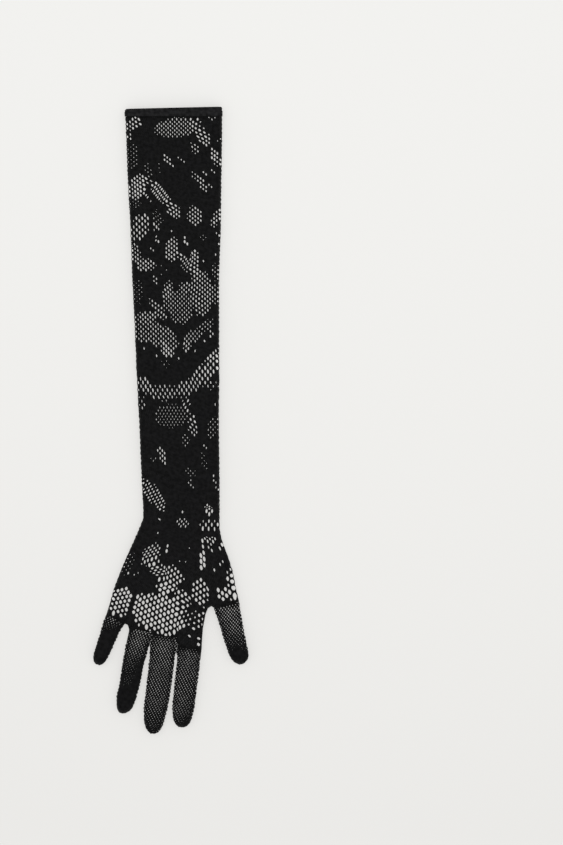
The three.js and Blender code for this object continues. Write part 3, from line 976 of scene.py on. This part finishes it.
def yarn_material(name, tone, stitch_scale, relief):
    """Matt black yarn: tone sets its brightness, and relief how far its stitches stand out."""
    material, shader = new_material(
        name, {"Specular IOR Level": 0.08, "Sheen Weight": 0.02, "Sheen Roughness": 0.45},
    )
    dark = (*[tone * part for part in DARK_YARN], 1.0)
    light = (*[tone * part for part in LIGHT_YARN_WITH_PAINTED_GLINT], 1.0)

    stitch_map = add_node(material, "UVMap", uv_map="stitches")
    columns = add_node(
        material, "TexWave", {"Scale": stitch_scale, "Distortion": 1.6, "Detail Scale": 2.2},
        wave_type="BANDS", bands_direction="X",
    )
    loops = add_node(
        material, "TexWave", {"Scale": stitch_scale * LOOP_SCALE, "Distortion": 1.2},
        wave_type="BANDS", bands_direction="DIAGONAL",
    )
    stitches = add_node(material, "Math", operation="MULTIPLY")
    where = add_node(material, "TexCoord")
    cloudy = add_node(material, "TexNoise", {"Scale": MOTTLE_SCALE, "Detail": 4.0})
    mottle = add_node(material, "MapRange", {"From Min": 0.35, "From Max": 0.65, "To Max": 0.5})
    # painted glint: the stitch crests lighten the colour itself, on top of the mottle that is the
    # yarn's own tone
    painted_glint_and_mottle = add_node(material, "Math", {1: PAINTED_GLINT_SHARE}, operation="MULTIPLY_ADD")
    tones = add_node(material, "Mix", {"A": dark, "B": light}, data_type="RGBA")
    matt = add_node(material, "MapRange", {"To Min": 0.72, "To Max": 0.9})
    bump = add_node(material, "Bump", {"Strength": relief, "Distance": STITCH_DEPTH})

    join_nodes(material, [
        (stitch_map, "UV", columns, "Vector"),
        (stitch_map, "UV", loops, "Vector"),
        (columns, "Fac", stitches, 0),
        (loops, "Fac", stitches, 1),
        (where, "Object", cloudy, "Vector"),
        (cloudy, "Fac", mottle, "Value"),
        (stitches, "Value", painted_glint_and_mottle, 0),
        (mottle, "Result", painted_glint_and_mottle, 2),
        (painted_glint_and_mottle, "Value", tones, "Factor"),
        (tones, "Result", shader, "Base Color"),
        (cloudy, "Fac", matt, "Value"),
        (matt, "Result", shader, "Roughness"),
        (stitches, "Value", bump, "Height"),
        (bump, "Normal", shader, "Normal"),
    ])
    return material


LACE = yarn_material("lace_yarn", tone=0.0034, stitch_scale=2.5, relief=0.8)
FINGER_NET = yarn_material("finger_yarn", tone=0.0030, stitch_scale=3.0, relief=0.6)
HEM_KNIT = yarn_material("hem_yarn", tone=0.0088, stitch_scale=3.0, relief=1.0)
print("finishes:", LACE.name, FINGER_NET.name, HEM_KNIT.name)

# %% [markdown]
# ## The sleeve
#
# The same flat net, with the same gaps, makes the upper and the under layer: as the camera
# sees them the gaps fall on each other and the table shows through. The layers are two
# objects, so that either can be looked at alone. The gaps are ovals up the arm and more
# like diamonds in the hand. Only the two sides have teeth, because the other edges join the
# hem and the fingers.

# %% Upper and under layer of the sleeve
LACE_THICKNESS = 0.7 * MM
OVAL = 2.0
DIAMOND = 1.5
DIAMONDS_BELOW = -135.0
SLEEVE_TEETH = 0.2
TEETH_FROM = -164.0
TEETH_TO = 277.0
TOP_Y, TOP_LEFT, TOP_RIGHT, _ = SLEEVE[-1]
SLEEVE_CORNERS = HAND_EDGE + [(TOP_LEFT, TOP_Y), (TOP_RIGHT, TOP_Y)]


def sleeve_gap(x, y):
    """The gap of a cell in the sleeve, or None where the knitting is close."""
    size = gap_size(x, y)
    if size == 0.0:
        return None
    _, _, width, height, lean = reading(STITCHES, y)
    return (width * size, height * size, lean, DIAMOND if y < DIAMONDS_BELOW else OVAL)


def sleeve_teeth(_, y):
    """The size of the teeth along the sides, and None at the hem and the fingers."""
    return SLEEVE_TEETH if TEETH_FROM < y < TEETH_TO else None


def sleeve_layer(name, upper):
    """One layer of the arm and hand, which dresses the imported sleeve."""
    net = flat_net(SLEEVE_COLUMNS + 2 * SPARE_COLUMNS, len(ROW_LEVELS))
    lay_net(net, sleeve_outline(), SLEEVE_CORNERS, sleeve_place, sleeve_teeth)
    gaps = open_gaps(net, sleeve_gap, rounded=True)
    drape(net, upper)
    piece = cloth_object(name, [net], LACE_THICKNESS, LACE)
    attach(piece, "root")
    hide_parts("lace_sleeve")
    print(name, "gaps:", gaps, "faces:", len(piece.data.polygons))


sleeve_layer("lace_upper_layer", True)
sleeve_layer("lace_under_layer", False)

# %% [markdown]
# ## The fingers
#
# The fingers are knitted in a much finer net. Its two layers nearly fall on each other, so a
# little light comes through every gap, in slanting lines. Parts of the fingers are close
# knitting: the ends of the thumb, ring and little fingers, and the right side of the ring
# finger. The teeth of the edge grow smaller towards the tip, where the net is drawn tight.

# %% Finger nets
FINGER_COLUMN = 1.4
FINGER_ROW = 3.4
FINGER_LEAN = 0.2
FINGER_THICKNESS = 0.45 * MM
# in cells: half width, half height and lean of a gap, and the under layer's shift
FINGER_GAP = (0.27, 0.215, 0.25, OVAL)
UNDER_SHIFT = (0.06, 0.04)
FINGER_NETS = {
    # how far along, and the size of the gaps at the left side, the middle and the right side
    "thumb": [
        (-6.0, 0.88, 1.1, 1.06),
        (8.0, 0.84, 1.1, 1.1),
        (22.0, 0.74, 0.96, 1.06),
        (34.0, 0.74, 0.62, 0.88),
        (44.0, 0.52, 0.0, 0.66),
        (52.0, 0.0, 0.0, 0.44),
    ],
    "index_finger": [
        (0.0, 0.88, 0.96, 0.84),
        (20.0, 0.88, 0.92, 0.84),
        (50.0, 0.92, 0.92, 0.84),
        (66.0, 0.92, 0.74, 0.66),
        (76.0, 0.74, 0.52, 0.44),
        (82.0, 0.0, 0.0, 0.0),
    ],
    "middle_finger": [
        (-6.0, 0.88, 1.02, 0.96),
        (10.0, 0.88, 1.02, 0.96),
        (30.0, 0.88, 0.92, 0.84),
        (56.0, 0.86, 0.88, 0.82),
        (66.0, 0.76, 0.78, 0.72),
        (78.0, 0.62, 0.66, 0.6),
        (90.0, 0.5, 0.56, 0.5),
    ],
    "ring_finger": [
        (-6.0, 0.84, 0.92, 0.88),
        (10.0, 0.92, 1.02, 0.88),
        (20.0, 0.88, 0.88, 0.62),
        (26.0, 0.8, 0.62, 0.36),
        (38.0, 0.66, 0.5, 0.1),
        (48.0, 0.5, 0.38, 0.0),
        (56.0, 0.3, 0.0, 0.0),
    ],
    "little_finger": [
        (-6.0, 1.2, 1.2, 1.0),
        (4.0, 1.2, 1.15, 0.9),
        (12.0, 0.96, 0.8, 0.5),
        (26.0, 0.5, 0.0, 0.0),
    ],
}
SMALLEST_GAP = 0.35
FINGER_TEETH = 0.33
LEAST_TEETH = 0.2
SMOOTH_TIP = 14.0
ROOT_MARGIN = 1.5


def finger_gap_size(name, along, share):
    """The size of a finger's gaps, share running from 0 at its left side to 1 at its right."""
    left, middle, right = reading(FINGER_NETS[name], along)
    if share < 0.5:
        return left + 2.0 * share * (middle - left)
    return middle + 2.0 * (share - 0.5) * (right - middle)


def finger_layer(name, finger, upper):
    """One layer of a finger's net, from its root line to its tip."""
    sections = finger["sections"]
    root_places = [plan_to_finger(finger, *point)[0] for point in finger["root"]]
    start = min(root_places) - FINGER_ROW
    root_end = max(root_places) + ROOT_MARGIN
    length = sections[-1][0] - start + 2.0 * FINGER_ROW
    widest = max(row[2] - row[1] for row in sections)
    reach = widest + 2.0 * FINGER_COLUMN + FINGER_LEAN * length
    columns = 2 * math.ceil(reach / FINGER_COLUMN / 2.0)
    shift_across, shift_along = (0.0, 0.0) if upper else UNDER_SHIFT

    def place_of(column, row):
        along = start + (row + shift_along) * FINGER_ROW
        across = (column + shift_across - columns / 2.0 + 0.5) * FINGER_COLUMN
        across -= FINGER_LEAN * (along - start - length / 2.0)
        return finger_to_plan(finger, along, across)

    def gap_of(x, y):
        along, across = plan_to_finger(finger, x, y)
        left, right, _ = reading(sections, along)
        size = finger_gap_size(name, along, (across - left) / (right - left))
        if size < SMALLEST_GAP:
            return None
        width, height, lean, squareness = FINGER_GAP
        return (width * size, height * size, lean, squareness)

    def teeth_at(x, y):
        along = plan_to_finger(finger, x, y)[0]
        if along <= root_end:
            return None
        return FINGER_TEETH * min(1.0, max(LEAST_TEETH, (sections[-1][0] - along) / SMOOTH_TIP))

    net = flat_net(columns, math.ceil(length / FINGER_ROW) + 1)
    lay_net(net, finger_outline(finger), finger["root"], place_of, teeth_at)
    open_gaps(net, gap_of, rounded=False)
    drape(net, upper)
    return net


for finger_name, finger in FINGERS.items():
    layers = [finger_layer(finger_name, finger, upper) for upper in (True, False)]
    piece = cloth_object("net_" + finger_name, layers, FINGER_THICKNESS, FINGER_NET)
    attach(piece, "root")
    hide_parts(finger_name)
    print(piece.name, "faces:", len(piece.data.polygons))

# %% [markdown]
# ## The hem
#
# The hem is the same yarn knitted double, with a rolled top edge and a line of stitches
# below it. A circle is flattened to the tube's section and extruded row by row, and each
# row is set to its own size. The rows that differ most give the roll and the groove of the
# stitches.

# %% Hem band
HEM = [
    # y, left, right, height, rise from left to right
    (286.8, -40.6, 46.7, 8.6, 2.0),
    (286.1, -41.4, 47.3, 9.5, 2.0),
    (284.9, -42.1, 47.6, 9.7, 1.8),
    (284.1, -41.7, 47.3, 8.7, 1.5),
    (283.3, -42.3, 47.9, 9.8, 1.2),
    (279.0, -42.0, 47.9, 9.8, 0.0),
]
HEM_POINTS = 180
HEM_THICKNESS = 1.5 * MM
HEM_MAP_SCALE = 110.0


def set_hem_ring(verts, turn, row):
    """Flattens a ring of the band to the section of one row, which climbs to the right."""
    y, left, right, height, rise = row
    for vert in verts:
        out = math.cos(vert[turn])
        x = (left + right) / 2.0 + out * (right - left) / 2.0
        z = layer_height(abs(out), height, ARM_ROUND, math.sin(vert[turn]) >= 0.0)
        vert.co = (x * MM, (y + rise * out / 2.0) * MM, z * MM)


def hem_band():
    """The band's outer face, from its rolled top to the sleeve, in metres."""
    band = bmesh.new()
    turn = band.verts.layers.float.new("turn")
    bmesh.ops.create_circle(band, cap_ends=False, segments=HEM_POINTS, radius=1.0)
    for vert in band.verts:
        vert[turn] = math.atan2(vert.co.y, vert.co.x)
    ring = band.edges[:]
    set_hem_ring(band.verts, turn, HEM[0])
    for row in HEM[1:]:
        grown = bmesh.ops.extrude_edge_only(band, edges=ring)["geom"]
        ring = [item for item in grown if isinstance(item, bmesh.types.BMEdge)]
        set_hem_ring({vert for edge in ring for vert in edge.verts}, turn, row)
    bmesh.ops.recalc_face_normals(band, faces=band.faces)
    stitches = band.loops.layers.uv.new("stitches")
    for face in band.faces:
        face.smooth = True
        for loop in face.loops:
            loop[stitches].uv = (loop.vert.co.x * HEM_MAP_SCALE, loop.vert.co.y * HEM_MAP_SCALE)
    return band


hem_mesh = mesh_of("hem_roll", hem_band())
hem_mesh.materials.append(HEM_KNIT)
hem = new_object("hem_roll", hem_mesh)
thicken(hem, "double_cloth", HEM_THICKNESS)
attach(hem, "root")
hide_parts("hem_band")
print("hem faces:", len(hem_mesh.polygons))

# %% [markdown]
# ## The table
#
# The table is a plain pale sheet just under the glove. It is part of the stage and not of
# the glove. Its colour has painted shade: it darkens a little towards the fingertips, as a
# sheet lit mostly from beyond the hem does.

# %% Pale table
TABLE_DROP = 0.2 * MM
TABLE_SIZE = 6.0
# painted shade: the paper's colour runs from the darker tone at the fingertips to the brighter one
# at the hem
PAPER_IN_PAINTED_SHADE = (0.786, 0.779, 0.760, 1.0)
PAPER_IN_PAINTED_LIGHT = (0.842, 0.838, 0.819, 1.0)
SHADE_FROM = -0.36
SHADE_TO = 0.38


def paper_material():
    """Matt paper with painted shade: dimmer towards the fingertips and brighter towards the hem."""
    material, shader = new_material("paper", {"Roughness": 0.9, "Specular IOR Level": 0.1})
    place = add_node(material, "TexCoord")
    axes = add_node(material, "SeparateXYZ")
    shade = add_node(material, "MapRange", {"From Min": SHADE_FROM, "From Max": SHADE_TO})
    tones = add_node(material, "Mix", {"A": PAPER_IN_PAINTED_SHADE, "B": PAPER_IN_PAINTED_LIGHT}, data_type="RGBA")
    join_nodes(material, [
        (place, "Object", axes, "Vector"),
        (axes, "Y", shade, "Value"),
        (shade, "Result", tones, "Factor"),
        (tones, "Result", shader, "Base Color"),
    ])
    return material


sheet = bmesh.new()
bmesh.ops.create_grid(sheet, x_segments=1, y_segments=1, size=TABLE_SIZE / 2.0)
bmesh.ops.translate(sheet, verts=sheet.verts, vec=(0.0, 0.0, -TABLE_DROP))
table_mesh = mesh_of("table_top", sheet)
table_mesh.materials.append(paper_material())
table_top = new_object("table_top", table_mesh)
print("table side in metres:", TABLE_SIZE)

# %% [markdown]
# ## The light
#
# The photograph has almost no shadows: the lamp stood at the camera. A small round lamp on
# the camera's own line does the same, and its light reaches the table through just those
# gaps that the camera looks through. The rest is even light from all round.

# %% Lamp at the camera, and even light all round
LAMP_POWER = 126.0
LAMP_SIZE = 0.15
ROOM_STRENGTH = 0.385

lamp_data = bpy.data.lights.new("lamp", "AREA")
lamp_data.shape = "DISK"
lamp_data.size = LAMP_SIZE
lamp_data.energy = LAMP_POWER
lamp = new_object("lamp", lamp_data)
lamp.location = camera.location

room = bpy.data.worlds.new("room")
room.use_nodes = True
room_light = room.node_tree.nodes["Background"]
room_light.inputs["Color"].default_value = (1.0, 1.0, 1.0, 1.0)
room_light.inputs["Strength"].default_value = ROOM_STRENGTH
bpy.context.scene.world = room
bpy.context.scene.view_settings.view_transform = "Standard"
print("lamp power:", LAMP_POWER, "room:", ROOM_STRENGTH)
